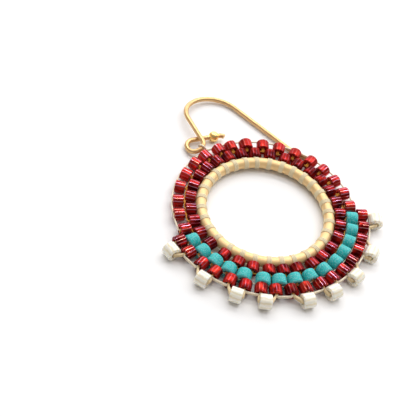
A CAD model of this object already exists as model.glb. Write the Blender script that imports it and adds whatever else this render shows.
import random
from collections import namedtuple
from math import cos, pi, radians, sin

import bmesh
import bpy
from mathutils import Matrix, Vector


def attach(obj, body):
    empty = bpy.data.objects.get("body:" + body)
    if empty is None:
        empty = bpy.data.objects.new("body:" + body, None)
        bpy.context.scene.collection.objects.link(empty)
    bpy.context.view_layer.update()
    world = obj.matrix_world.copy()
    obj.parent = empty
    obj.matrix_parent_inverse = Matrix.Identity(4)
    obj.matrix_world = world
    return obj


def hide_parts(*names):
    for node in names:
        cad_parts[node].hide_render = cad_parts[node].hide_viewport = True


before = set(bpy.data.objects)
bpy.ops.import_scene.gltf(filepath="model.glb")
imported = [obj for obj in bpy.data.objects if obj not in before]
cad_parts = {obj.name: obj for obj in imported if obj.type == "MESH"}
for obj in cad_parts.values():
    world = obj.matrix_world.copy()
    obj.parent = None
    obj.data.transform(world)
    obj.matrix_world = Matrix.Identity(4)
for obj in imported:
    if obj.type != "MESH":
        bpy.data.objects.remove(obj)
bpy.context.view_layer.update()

# Sizes are in mm, as in the part's source, and every finished piece is made in metres.
MM = 0.001
HOOP_CENTRE = Vector((0, -2.84, 0.95))
HOOP_R = 8.2
HOOP_WIRE_R = 0.675

# The ball near the end of the ear wire.
BALL_AT = Vector((-2.53, 10.75, 0.723))
BALL_R = 0.7

# Cylinder beads, with the rounding of their shoulders. All kinds share the rounding of the
# bore's rim and the number of sides.
Bead = namedtuple("Bead", "across length bore shoulder")
RED = Bead(across=1.62, length=1.3, bore=0.78, shoulder=0.1)
TURQUOISE = Bead(across=1.84, length=1.42, bore=0.8, shoulder=0.2)
IVORY = Bead(across=1.9, length=1.5, bore=0.8, shoulder=0.12)
BORE_LIP = 0.07
BEAD_SIDES = 22

# Rows of beads: their kind, radius to the bead's middle, degrees apart, first bead's angle,
# and how far each bead sits off its even place in degrees.
Row = namedtuple("Row", "bead radius step start sway")
INNER_ROW = Row(RED, 9.585, 360 / 31, 270 + 180 / 31, [
    -0.7, 0.9, 0.2, 0.6, 1.1, 1.8, 1.7, 1.7, 1.7, 1.9, 1.1, 1.1, 0.3, 0.6, 1.1, 0,
    -0.3, -1.4, -2, -2.7, -3, -3.3, -2.8, -2.6, -2.6, -1.9, 0.4, 0.6, 0.3, 0.8, 0])
UPPER_ROW = Row(RED, 11.135, 11.3, -6.05, [
    0, 0, 0.6, 0, -0.6, 0, 0, -0.6, 0, -0.6, -2.6, -2.6, -3.8, -3.3, -2.6, -1.3, -1.3, 0])
TURQUOISE_ROW = Row(TURQUOISE, 11.085, 10.55, 196.15, [
    0, -0.35, -0.7, -1.05, -1.4, 0.3, 0, -0.3, -0.3, 0.4, 0.8, 0.6, 0.3, 0, -0.3])
OUTER_ROW = Row(RED, 12.535, 8.9, 194.35, [
    -1.1, -1.3, 0, 0, 0.7, 0.5, 0.4, -0.2, -0.3, -0.6, 0, -0.3, 0, 0, 0.6, 0.5, 1.1, 1.6])
PICOTS = Row(IVORY, 14.235, 17.8, 198.8, [-2, 2, 2, -1.5, 2, -1, -3, -2.5, 2.5])

# Odd beads by their angle to the nearest degree: a lean in degrees, and how many times as
# large as the others.
ODD_INNER = {90: (15, 1)}
ODD_UPPER = {84: (6, 1.1)}

# How far a bead may be rolled round its bore, and a wrap of thread may lean, in degrees.
BEAD_ROLL = 25
WRAP_LEAN = 5

# Thickness of each kind of strand, and the section of the flat one round the hoop's wire.
BORE_STRAND = 0.3
INNER_STRAND = 0.14
FINE_STRAND = 0.12
EDGE_STRAND = 0.22
PICOT_STRAND = 0.25
WRAP_WIDTH = 0.2
WRAP_THICK = 0.09

# How far a strand's end goes down a bore, and how far the strands in a bore lie from its middle.
SUNK = 0.4
BORE_SPREAD = 0.15
BORE_ASIDE = 0.03
PICOT_SPREAD = 0.13

# Where the hanging loop is tied: its angle round the hoop and distance from the hoop's centre.
KNOT_ANGLE = 112.8
KNOT_R = 12.02

# Where the garnet glass changes over the earring, from and to: away from the hoop's centre
# past the inner row, along Y toward the top, and along SIDEWAYS toward the two sides, from
# the middle between them.
PAST_INNER_ROW = (9.9, 10.7)
TOWARD_TOP = (-5, 1)
TOWARD_SIDES = (5, 9)
SIDEWAYS = (0.906, -0.423, 0)
BETWEEN_SIDES = 1.2

# The camera, fitted to the photograph: place in metres, axes, and lens and sensor in mm.
CAMERA_AT = Vector((-0.056337, -0.092526, 0.116586))
CAMERA_RIGHT = Vector((0.94034, -0.29758, 0.16499))
CAMERA_DOWN = Vector((-0.12445, -0.75209, -0.64720))
CAMERA_FORWARD = Vector((0.31668, 0.58805, -0.74425))
FOCAL_LENGTH = 107.96
SENSOR_WIDTH = 36

handwork = random.Random(11)


def row_angles(row):
    """The angle of each bead of a row round the hoop, in degrees."""
    return [row.start + i * row.step + off for i, off in enumerate(row.sway)]


def outer_edge(row):
    return row.radius + row.bead.length / 2


def round_hoop(angle, out, up=0.0, along=0.0):
    """A point by its angle round the hoop, distance from the centre, height and offset along."""
    a = radians(angle)
    outward = Vector((cos(a), sin(a), 0))
    tangent = Vector((-sin(a), cos(a), 0))
    return HOOP_CENTRE + outward * out + tangent * along + Vector((0, 0, up))


# meshes


def drilled_bead(kind):
    """A bead with its bore along X: the wall's section, rounded off and spun round the bore."""
    wall = (kind.across - kind.bore) / 2
    bead = bmesh.new()
    middle = Matrix.Translation((0, kind.bore / 2 + wall / 2, 0))
    section = middle @ Matrix.Diagonal((kind.length, wall, 1, 1))
    bmesh.ops.create_grid(bead, x_segments=1, y_segments=1, size=0.5, matrix=section)
    outer = [v for v in bead.verts if v.co.y > kind.bore / 2 + wall / 2]
    round_off(bead, outer, kind.shoulder, steps=4)
    lip = [v for v in bead.verts if v.co.y < kind.bore / 2 + wall / 4]
    round_off(bead, lip, BORE_LIP, steps=2)
    bmesh.ops.delete(bead, geom=bead.faces[:], context="FACES_ONLY")
    spin_round_x(bead, BEAD_SIDES)
    bmesh.ops.remove_doubles(bead, verts=bead.verts, dist=0.0005)
    bmesh.ops.recalc_face_normals(bead, faces=bead.faces)
    return bead


def round_off(mesh, corners, size, steps):
    bmesh.ops.bevel(mesh, geom=corners, offset=size, segments=steps, profile=0.5,
                    affect="VERTICES", material=-1)


def spin_round_x(mesh, steps):
    bmesh.ops.spin(mesh, geom=mesh.verts[:] + mesh.edges[:], cent=(0, 0, 0), axis=(1, 0, 0),
                   dvec=(0, 0, 0), angle=2 * pi, steps=steps, use_merge=True)


def copies(shape, places):
    """One mesh with a copy of the shape at each place."""
    one = bpy.data.meshes.new("one")
    whole = bmesh.new()
    for place in places:
        copy = shape.copy()
        bmesh.ops.transform(copy, matrix=place, verts=copy.verts)
        copy.to_mesh(one)
        copy.free()
        whole.from_mesh(one)
    return whole


def in_scene(name, data):
    thing = bpy.data.objects.new(name, data)
    bpy.context.scene.collection.objects.link(thing)
    return thing


def earring_piece(name, data, material):
    """An object that rides on the earring, with smooth faces of one material."""
    data.name = name
    data.shade_smooth()
    data.materials.clear()
    data.materials.append(material)
    piece = in_scene(name, data)
    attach(piece, "root")
    return piece


def solid_piece(name, mesh, material):
    """Turns a bmesh in mm into a piece of the earring."""
    bmesh.ops.transform(mesh, matrix=Matrix.Scale(MM, 4), verts=mesh.verts)
    data = bpy.data.meshes.new(name)
    mesh.to_mesh(data)
    mesh.free()
    return earring_piece(name, data, material)


def thread_piece(name, paths, thickness, material, smooth=3):
    """One mesh of thread strands, each along a smooth path of points in mm."""
    curve = bpy.data.curves.new(name, "CURVE")
    curve.dimensions = "3D"
    curve.bevel_depth = thickness / 2 * MM
    curve.bevel_resolution = 2
    curve.use_fill_caps = True
    for path in paths:
        spline = curve.splines.new("NURBS")
        spline.points.add(len(path) - 1)
        for point, place in zip(spline.points, path):
            point.co = (*(place * MM), 1)
        spline.order_u = 3
        spline.use_endpoint_u = True
        spline.resolution_u = smooth
    wound = in_scene(name + "_curve", curve)
    bpy.context.view_layer.update()
    depsgraph = bpy.context.evaluated_depsgraph_get()
    data = bpy.data.meshes.new_from_object(wound.evaluated_get(depsgraph))
    bpy.data.objects.remove(wound)
    return earring_piece(name, data, material)


# beads


def bead_numbers(piece, shape, count, kind):
    """Stores each vertex's place in its own bead, from -1 to 1, and a shade for each bead."""
    half, radius = kind.length / 2, kind.across / 2
    within = [c for v in shape.verts for c in (v.co.x / half, v.co.y / radius, v.co.z / radius)]
    shade = [handwork.random() for i in range(count)]
    layer = piece.data.attributes.new("within", "FLOAT_VECTOR", "POINT")
    layer.data.foreach_set("vector", within * count)
    layer = piece.data.attributes.new("shade", "FLOAT", "POINT")
    layer.data.foreach_set("value", [s for s in shade for v in shape.verts])


def strung_beads(name, kind, places, material):
    """One piece with a bead at each place."""
    shape = drilled_bead(kind)
    piece = solid_piece(name, copies(shape, places), material)
    bead_numbers(piece, shape, len(places), kind)
    shape.free()
    return piece


def hand_set(turn, slip):
    """A bead never sits quite true: small turns and slips, at most as given, and a roll."""
    turns = [Matrix.Rotation(radians(handwork.uniform(-turn, turn)), 4, axis) for axis in "YZ"]
    roll = Matrix.Rotation(radians(handwork.uniform(-BEAD_ROLL, BEAD_ROLL)), 4, "X")
    slips = [handwork.uniform(-slip, slip) for i in range(3)]
    return Matrix.Translation(slips) @ turns[0] @ turns[1] @ roll


def bead_row(name, row, material, turn, slip, odd=None):
    """The separate beads of a row with their bores outward."""
    places = []
    for angle in row_angles(row):
        stand = Matrix.Translation(round_hoop(angle, row.radius))
        face_out = Matrix.Rotation(radians(angle), 4, "Z")
        lean, size = (odd or {}).get(round(angle), (0, 1))
        cast = Matrix.Rotation(radians(lean), 4, "Y") @ Matrix.Scale(size, 4)
        places.append(stand @ face_out @ hand_set(turn, slip) @ cast)
    return strung_beads(name, row.bead, places, material)


def picots(material):
    """The nine single beads of the lower edge, with their bores along the edge."""
    for i, angle in enumerate(row_angles(PICOTS)):
        stand = Matrix.Translation(round_hoop(angle, PICOTS.radius))
        crosswise = Matrix.Rotation(radians(angle + 90), 4, "Z")
        picot = strung_beads(f"picot_{i + 1}", IVORY, [stand @ crosswise], material)
        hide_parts(f"picot_bead_{i + 1}")


# thread


def wrap_ring():
    """A flat strand closed round the hoop's wire, with the wire along X."""
    ring = bmesh.new()
    section = Matrix.Translation((0, HOOP_WIRE_R + WRAP_THICK / 2, 0))
    section = section @ Matrix.Diagonal((WRAP_WIDTH / 2, WRAP_THICK / 2, 1, 1))
    bmesh.ops.create_circle(ring, segments=10, radius=1, matrix=section)
    spin_round_x(ring, steps=28)
    bmesh.ops.recalc_face_normals(ring, faces=ring.faces)
    return ring


def hoop_wraps(material):
    """Three strands side by side at each bead of the inner row, a little aslant."""
    places = []
    for angle in row_angles(INNER_ROW):
        lean = Matrix.Rotation(radians(handwork.uniform(-WRAP_LEAN, WRAP_LEAN)), 4, "Z")
        for side in (-WRAP_WIDTH, 0, WRAP_WIDTH):
            stand = Matrix.Translation(round_hoop(angle, HOOP_R, 0, side))
            places.append(stand @ Matrix.Rotation(radians(angle + 90), 4, "Z") @ lean)
    solid_piece("hoop_wraps", copies(wrap_ring(), places), material)


def bore_strands(row, past=0.0):
    """Two strands through the bore of each bead of a row, and past its inner end as given."""
    half = row.bead.length / 2
    ends = (row.radius - half - past, row.radius, row.radius + half)
    return [[round_hoop(angle, out, up, BORE_ASIDE) for out in ends]
            for angle in row_angles(row) for up in (-BORE_SPREAD, BORE_SPREAD)]


def bore_threads(material):
    strands = bore_strands(INNER_ROW, past=0.04)
    for row in (UPPER_ROW, TURQUOISE_ROW, OUTER_ROW):
        strands += bore_strands(row)
    thread_piece("bore_threads", strands, BORE_STRAND, material, smooth=1)


def bridges(pairs, row, rise, heights=(0.0,)):
    """From the bore of one bead to that of its pair, along the outer edge of their row."""
    edge = outer_edge(row)
    # How far out from the edge and how far along it, from the bore to the bridge.
    ways = ((-SUNK, 0), (rise * 0.6, 0.06), (rise, 0.3))
    strands = []
    for first, second in pairs:
        for up in heights:
            leaving = [round_hoop(first, edge + out, up, along) for out, along in ways]
            coming = [round_hoop(second, edge + out, up, -along) for out, along in ways]
            strands.append(leaving + coming[::-1])
    return strands


def hooked_loop(angle, row, reach, along=0.0):
    """Out of the inner end of a bead's bore, round the bridge below it and back."""
    edge = row.radius - row.bead.length / 2
    # How far out from the edge and how far up, all the way round.
    turns = ((0.3, 0.12), (-reach * 0.6, 0.16), (-reach, 0), (-reach * 0.6, -0.16), (0.3, -0.12))
    return [round_hoop(angle, edge + out, up, along) for out, up in turns]


def inner_bridges(material):
    """Thread between the beads of the inner row, and loops of the upper row round it."""
    angles = row_angles(INNER_ROW)
    strands = bridges(zip(angles, angles[1:] + [angles[0] + 360]), INNER_ROW, rise=0.08)
    strands += [hooked_loop(angle, UPPER_ROW, reach=0.32, along=along)
                for angle in row_angles(UPPER_ROW)[1:-1] for along in (-0.1, 0.1)]
    thread_piece("inner_bridges", strands, INNER_STRAND, material)


def fine_bridges(material):
    """Thread between the turquoise beads, and their loops round the inner row's thread."""
    angles = row_angles(TURQUOISE_ROW)
    strands = bridges(zip(angles, angles[1:]), TURQUOISE_ROW, rise=0.05)
    strands += [hooked_loop(angle, TURQUOISE_ROW, reach=0.3) for angle in angles]
    thread_piece("fine_bridges", strands, FINE_STRAND, material)


def loop_strand(angle, side):
    """From a bead beside the hanging loop up to where the loop is tied."""
    edge = outer_edge(UPPER_ROW)
    return [
        round_hoop(angle, edge - SUNK),
        round_hoop(angle, edge + 0.06),
        round_hoop(KNOT_ANGLE, KNOT_R - 0.12, 0.1, side * 0.3),
        round_hoop(KNOT_ANGLE, KNOT_R + 0.1, 0.2, side * 0.12),
    ]


def edge_bridges(material):
    """Thread round the beadwork's edge, single on the upper half and double between picots."""
    upper, outer = row_angles(UPPER_ROW), row_angles(OUTER_ROW)
    strands = bridges(zip(upper, upper[1:]), UPPER_ROW, rise=0.1)
    strands += bridges(zip(outer[1::2], outer[2::2]), OUTER_ROW, rise=0.24, heights=(-0.1, 0.1))
    # The hanging loop stands between these two beads.
    strands += [loop_strand(upper[10], -1), loop_strand(upper[11], 1)]
    thread_piece("edge_bridges", strands, EDGE_STRAND, material)


def picot_strand(first, second, angle, up, out):
    """From one outer bead's bore through the picot's bore to the next outer bead's."""
    edge = outer_edge(OUTER_ROW)
    half = IVORY.length / 2
    bore = PICOTS.radius + out
    return [
        round_hoop(first, edge - SUNK, up),
        round_hoop(first, edge + 0.08, up),
        round_hoop(angle, bore - 0.25, up, -half - 0.14),
        round_hoop(angle, bore, up, -half + 0.02),
        round_hoop(angle, bore, up, 0),
        round_hoop(angle, bore, up, half - 0.02),
        round_hoop(angle, bore - 0.25, up, half + 0.14),
        round_hoop(second, edge + 0.08, up),
        round_hoop(second, edge - SUNK, up),
    ]


def picot_strands(material):
    """Four strands through each picot, from and to the pair of outer beads above it."""
    outer = row_angles(OUTER_ROW)
    spread = (-PICOT_SPREAD, PICOT_SPREAD)
    strands = [picot_strand(outer[2 * i], outer[2 * i + 1], angle, up, out)
               for i, angle in enumerate(row_angles(PICOTS)) for up in spread for out in spread]
    thread_piece("picot_strands", strands, PICOT_STRAND, material)


# materials


class Value:
    """A shader socket that Python's own operators can work on."""

    def __init__(self, finish, socket):
        self.finish = finish
        self.socket = socket

    def maths(self, operation, *others):
        return self.finish.maths(operation, self, *others)

    def __add__(self, other):
        return self.maths("ADD", other)

    def __sub__(self, other):
        return self.maths("SUBTRACT", other)

    def __rsub__(self, other):
        return self.finish.maths("SUBTRACT", other, self)

    def __mul__(self, other):
        return self.maths("MULTIPLY", other)

    __radd__ = __add__
    __rmul__ = __mul__


class Finish:
    """A node-based material, made by asking for its nodes one at a time."""

    def __init__(self, name):
        self.material = bpy.data.materials.new(name)
        self.material.use_nodes = True
        self.tree = self.material.node_tree
        self.shader = self.tree.nodes["Principled BSDF"]

    def node(self, kind, settings=None, inputs=None, output=0):
        """Adds a node of a kind, sets it, fills its sockets and gives one of its outputs."""
        made = self.tree.nodes.new(kind)
        for name, setting in (settings or {}).items():
            setattr(made, name, setting)
        for name, given in (inputs or {}).items():
            self.feed(made.inputs[name], given)
        return Value(self, made.outputs[output])

    def feed(self, socket, given):
        """Links a socket to a value, or sets it to a number, a vector or a colour."""
        if isinstance(given, Value):
            self.tree.links.new(given.socket, socket)
        elif isinstance(given, tuple) and socket.type == "RGBA":
            socket.default_value = (*given, 1)
        else:
            socket.default_value = given

    def maths(self, operation, *values):
        return self.node("ShaderNodeMath", {"operation": operation}, dict(enumerate(values)))

    def vector_maths(self, operation, vector):
        """A number worked out from each point's place on the earring and a given vector."""
        inputs = {0: self.place(), 1: tuple(vector)}
        return self.node("ShaderNodeVectorMath", {"operation": operation}, inputs, "Value")

    def place(self):
        return self.node("ShaderNodeTexCoord", output="Object")

    def stored(self, name, output):
        settings = {"attribute_name": name, "attribute_type": "GEOMETRY"}
        return self.node("ShaderNodeAttribute", settings, output=output)

    def number_of(self, vector, axis):
        return self.node("ShaderNodeSeparateXYZ", inputs={"Vector": vector}, output=axis)

    def along_bore(self):
        """Place along the bead's bore, from -1 to 1."""
        return self.number_of(self.stored("within", "Vector"), "X")

    def round_bore(self):
        """Angle round the bead's bore, 0 at the bead's upper side."""
        within = self.stored("within", "Vector")
        return self.number_of(within, "Y").maths("ARCTAN2", self.number_of(within, "Z"))

    def grain(self, scale, detail=3.0, stretch=(1, 1, 1)):
        """Noise with `scale` bumps to the metre, stretched along the axes."""
        mapped = self.node("ShaderNodeMapping", inputs={"Vector": self.place(), "Scale": stretch})
        inputs = {"Vector": mapped, "Scale": scale, "Detail": detail}
        return self.node("ShaderNodeTexNoise", inputs=inputs)

    def between(self, low, high, number):
        """0 below low and 1 above high, smoothly."""
        settings = {"interpolation_type": "SMOOTHSTEP"}
        inputs = {"Value": number, "From Min": low, "From Max": high}
        return self.node("ShaderNodeMapRange", settings, inputs)

    def over_mm(self, limits, metres):
        """The same for a distance, with its limits in mm."""
        low, high = limits
        return self.between(low * MM, high * MM, metres)

    def blend(self, amount, first, second):
        """The first colour where the amount is 0 and the second where it is 1."""
        settings = {"data_type": "RGBA"}
        return self.node("ShaderNodeMix", settings, {0: amount, 6: first, 7: second}, output=2)

    def bump(self, height, strength, depth):
        """Relief, with its depth in mm."""
        inputs = {"Height": height, "Strength": strength, "Distance": depth * MM}
        self.feed(self.shader.inputs["Normal"], self.node("ShaderNodeBump", inputs=inputs))

    def set(self, **looks):
        """Fills the shader's own sockets, with _ for each space in their names."""
        for name, given in looks.items():
            self.feed(self.shader.inputs[name.replace("_", " ")], given)


def garnet_glass():
    """Dark garnet glass, ribbed, with a pink lustre in fine lines along the bore."""
    glass = Finish("garnet_glass")
    shade = glass.stored("shade", "Fac")
    around = glass.round_bore()
    swirl = glass.grain(900, detail=2)
    # 0 on the inner row and 1 on the rows outside it.
    rim = glass.over_mm(PAST_INNER_ROW, glass.vector_maths("DISTANCE", HOOP_CENTRE * MM))
    ribs = (around * 12 + shade * 30 + swirl * 4).maths("COSINE")
    body = garnet_body(glass, shade, swirl, rim)
    line = lustre_lines(glass, ribs, around, rim)
    glass.set(Base_Color=glass.blend(line, body, lustre_colour(glass, rim)),
              Metallic=0.5 + line * 0.5, Roughness=0.12 + swirl * 0.1,
              Specular_IOR_Level=0.15, Specular_Tint=(1, 0.35, 0.4))
    glass.bump(ribs, 1.0, 0.0055)
    return glass.material


def garnet_body(glass, shade, swirl, rim):
    """Deep red with warm swirls, darker in the inner row and paler at the top."""
    deep = glass.blend(shade, (0.07, 0.0003, 0.0005), (0.12, 0.001, 0.001))
    warm = glass.blend(shade, (0.4, 0.01, 0.008), (0.5, 0.026, 0.014))
    body = glass.blend(glass.between(0.35, 0.65, swirl), deep, warm)
    top = glass.over_mm(TOWARD_TOP, glass.number_of(glass.place(), "Y"))
    body = glass.blend((1 - rim) * 0.28, body, (0.03, 0, 0))
    return glass.blend(rim * top * 0.25, body, (0.85, 0.06, 0.045))


def lustre_colour(glass, rim):
    """Pink and orange in patches, more violet in the inner row."""
    patches = glass.between(0.45, 0.6, glass.grain(1500))
    lustre = glass.blend(patches, (1, 0.48, 0.72), (1, 0.48, 0.36))
    return glass.blend((1 - rim) * 0.45, lustre, (0.8, 0.45, 0.85))


def lustre_lines(glass, ribs, around, rim):
    """Broken lines on the ribs of a bead's upper side, strongest at the earring's two sides."""
    line = glass.between(0.86 - rim * 0.06, 0.98 - rim * 0.02, ribs)
    line = line * glass.between(0.3, 0.42, glass.grain(1100))
    line = line * glass.between(0.1, 0.5, around.maths("COSINE"))
    across = glass.vector_maths("DOT_PRODUCT", SIDEWAYS) - BETWEEN_SIDES * MM
    sides = glass.over_mm(TOWARD_SIDES, across.maths("ABSOLUTE"))
    return line * (0.2 + sides * 0.8) * (0.8 + rim * 0.1)


def frosted_turquoise():
    """Opaque turquoise glass, matte and speckled, with its shoulders rubbed lighter."""
    glass = Finish("frosted_turquoise")
    cloud = glass.grain(700)
    pits = glass.grain(6000, detail=2)
    shoulder = glass.between(0.78, 0.96, glass.along_bore().maths("ABSOLUTE"))
    pale = glass.between(0.42, 0.68, pits) * 0.5 + shoulder * 0.2
    colour = glass.blend(cloud, (0.003, 0.41, 0.4), (0.02, 0.46, 0.45))
    glass.set(Base_Color=glass.blend(pale, colour, (0.36, 0.61, 0.63)),
              Roughness=0.5 + pits * 0.15, Specular_IOR_Level=0.3, Subsurface_Weight=0.7,
              Subsurface_Radius=(0.4, 1, 1), Subsurface_Scale=1.4 * MM)
    glass.bump(pits, 0.3, 0.03)
    return glass.material


def pearl_ivory():
    """Ivory glass with a pearl lustre that lies in soft streaks along the bore."""
    glass = Finish("pearl_ivory")
    cloud = glass.grain(1400)
    bands = glass.round_bore() * 10 + glass.stored("shade", "Fac") * 30 + cloud * 5
    bands = bands.maths("COSINE")
    shadow = glass.blend(cloud, (0.82, 0.73, 0.54), (0.86, 0.76, 0.54))
    light = glass.blend(cloud, (0.93, 0.86, 0.7), (0.97, 0.94, 0.85))
    glass.set(Base_Color=glass.blend(glass.between(-1.1, 0.2, bands), shadow, light),
              Roughness=0.25 + cloud * 0.12, Coat_Weight=0.8, Coat_Roughness=0.08,
              Subsurface_Weight=0.6, Subsurface_Radius=(1, 0.85, 0.65),
              Subsurface_Scale=1.0 * MM)
    glass.bump(bands, 1.0, 0.01)
    return glass.material


def beading_thread(name, dark, light):
    """Thread with fine fibres, between a dark and a light colour."""
    thread = Finish(name)
    fibre = thread.grain(6000, stretch=(1, 1, 0.4))
    thread.set(Base_Color=thread.blend(fibre, dark, light), Roughness=0.6,
               Sheen_Weight=0.2, Sheen_Roughness=0.5)
    thread.bump(fibre, 0.5, 0.02)
    return thread.material


def pale_gold_wire():
    """The hoop's satin plating."""
    gold = Finish("pale_gold_wire")
    wear = gold.grain(1500)
    colour = gold.blend(wear, (0.84, 0.56, 0.24), (0.93, 0.68, 0.35))
    gold.set(Base_Color=colour, Metallic=0.35, Roughness=0.42 + wear * 0.12,
             Coat_Weight=0.15, Coat_Roughness=0.25)
    gold.bump(gold.grain(4000), 0.15, 0.02)
    return gold.material


def ear_wire_gold():
    """Brighter gold for the ear wire, with a yellower and smoother ball."""
    gold = Finish("ear_wire_gold")
    wear = gold.grain(1800)
    from_ball = gold.vector_maths("DISTANCE", BALL_AT * MM)
    on_ball = 1 - gold.over_mm((BALL_R * 1.05, BALL_R * 1.15), from_ball)
    wire = gold.blend(wear, (0.66, 0.4, 0.17), (0.8, 0.54, 0.26))
    gold.set(Base_Color=gold.blend(on_ball, wire, (1, 0.72, 0.26)),
             Metallic=0.75 + on_ball * 0.15, Roughness=0.26 + wear * 0.1 - on_ball * 0.1)
    gold.bump(gold.grain(3500), 0.12, 0.02)
    return gold.material


def white_table():
    table = Finish("white_table")
    table.set(Base_Color=(0.925, 0.93, 0.935), Roughness=0.65, Specular_IOR_Level=0.2)
    return table.material


# floor, light and camera


def table_top(half_width):
    """A flat white surface for the earring to lie on."""
    ground = bmesh.new()
    bmesh.ops.create_grid(ground, x_segments=1, y_segments=1, size=half_width)
    table = bpy.data.meshes.new("table")
    ground.to_mesh(table)
    ground.free()
    table.materials.append(white_table())
    floor = in_scene("table", table)


def soft_light(name, azimuth, elevation, distance, length, width, power):
    """A light panel turned toward the earring, with its length level, in metres and watts."""
    lamp = bpy.data.lights.new(name, "AREA")
    lamp.shape = "RECTANGLE"
    lamp.size, lamp.size_y = length, width
    lamp.energy = power
    turn = Matrix.Rotation(radians(azimuth + 90), 4, "Z")
    tip = Matrix.Rotation(radians(90 - elevation), 4, "X")
    in_scene(name, lamp).matrix_world = turn @ tip @ Matrix.Translation((0, 0, distance))


def studio_world(colour, strength):
    """Even light from all round."""
    world = bpy.data.worlds.new("studio")
    world.use_nodes = True
    background = world.node_tree.nodes["Background"]
    background.inputs["Color"].default_value = (*colour, 1)
    background.inputs["Strength"].default_value = strength
    bpy.context.scene.world = world


def fitted_camera():
    """The camera of the photograph."""
    lens = bpy.data.cameras.new("camera")
    lens.sensor_fit = "HORIZONTAL"
    lens.sensor_width = SENSOR_WIDTH
    lens.lens = FOCAL_LENGTH
    lens.clip_start = 0.01
    camera = in_scene("camera", lens)
    columns = [(*axis, 0) for axis in (CAMERA_RIGHT, -CAMERA_DOWN, -CAMERA_FORWARD)]
    camera.matrix_world = Matrix((*columns, (*CAMERA_AT, 1))).transposed()
    bpy.context.scene.camera = camera


# the whole scene

red_glass = garnet_glass()
turquoise_glass = frosted_turquoise()
ivory_glass = pearl_ivory()
cream_thread = beading_thread("beading_thread", (0.8, 0.69, 0.49), (0.95, 0.86, 0.68))
wrap_thread = beading_thread("wrap_thread", (0.7, 0.58, 0.35), (0.88, 0.77, 0.52))
golden_thread = beading_thread("golden_thread", (0.74, 0.56, 0.3), (0.92, 0.77, 0.48))
waxed_thread = beading_thread("waxed_thread", (0.9, 0.36, 0.03), (1, 0.52, 0.07))

for node, material in (("hoop", pale_gold_wire()), ("ear_hook", ear_wire_gold()),
                       ("hanging_loop", cream_thread)):
    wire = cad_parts[node]
    wire.data.materials.clear()
    wire.data.materials.append(material)
    wire.data.shade_smooth()

inner_beads = bead_row("red_inner_beads", INNER_ROW, red_glass,
                       turn=1.5, slip=0.025, odd=ODD_INNER)
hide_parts("red_inner_row")
upper_beads = bead_row("red_upper_beads", UPPER_ROW, red_glass,
                       turn=2.5, slip=0.03, odd=ODD_UPPER)
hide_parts("red_upper_row")
turquoise_beads = bead_row("turquoise_beads", TURQUOISE_ROW, turquoise_glass,
                           turn=0.8, slip=0.01)
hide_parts("turquoise_row")
outer_beads = bead_row("red_outer_beads", OUTER_ROW, red_glass,
                       turn=1.5, slip=0.02)
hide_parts("red_outer_row")
picots(ivory_glass)

hoop_wraps(wrap_thread)
bore_threads(waxed_thread)
inner_bridges(waxed_thread)
fine_bridges(cream_thread)
edge_bridges(cream_thread)
picot_strands(golden_thread)

table_top(half_width=1.5)
soft_light("back_panel", azimuth=55, elevation=28, distance=0.6, length=1.5, width=0.9, power=6.4)
soft_light("overhead_panel", azimuth=55, elevation=82, distance=0.6, length=0.9, width=0.6, power=0.7)
soft_light("top_strip", azimuth=60, elevation=84, distance=0.5, length=0.8, width=0.05, power=0.75)
soft_light("back_strip", azimuth=60, elevation=56, distance=0.5, length=0.8, width=0.05, power=0.75)
studio_world(colour=(1, 0.93, 0.91), strength=0.3)
bpy.context.scene.view_settings.view_transform = "Standard"
fitted_camera()
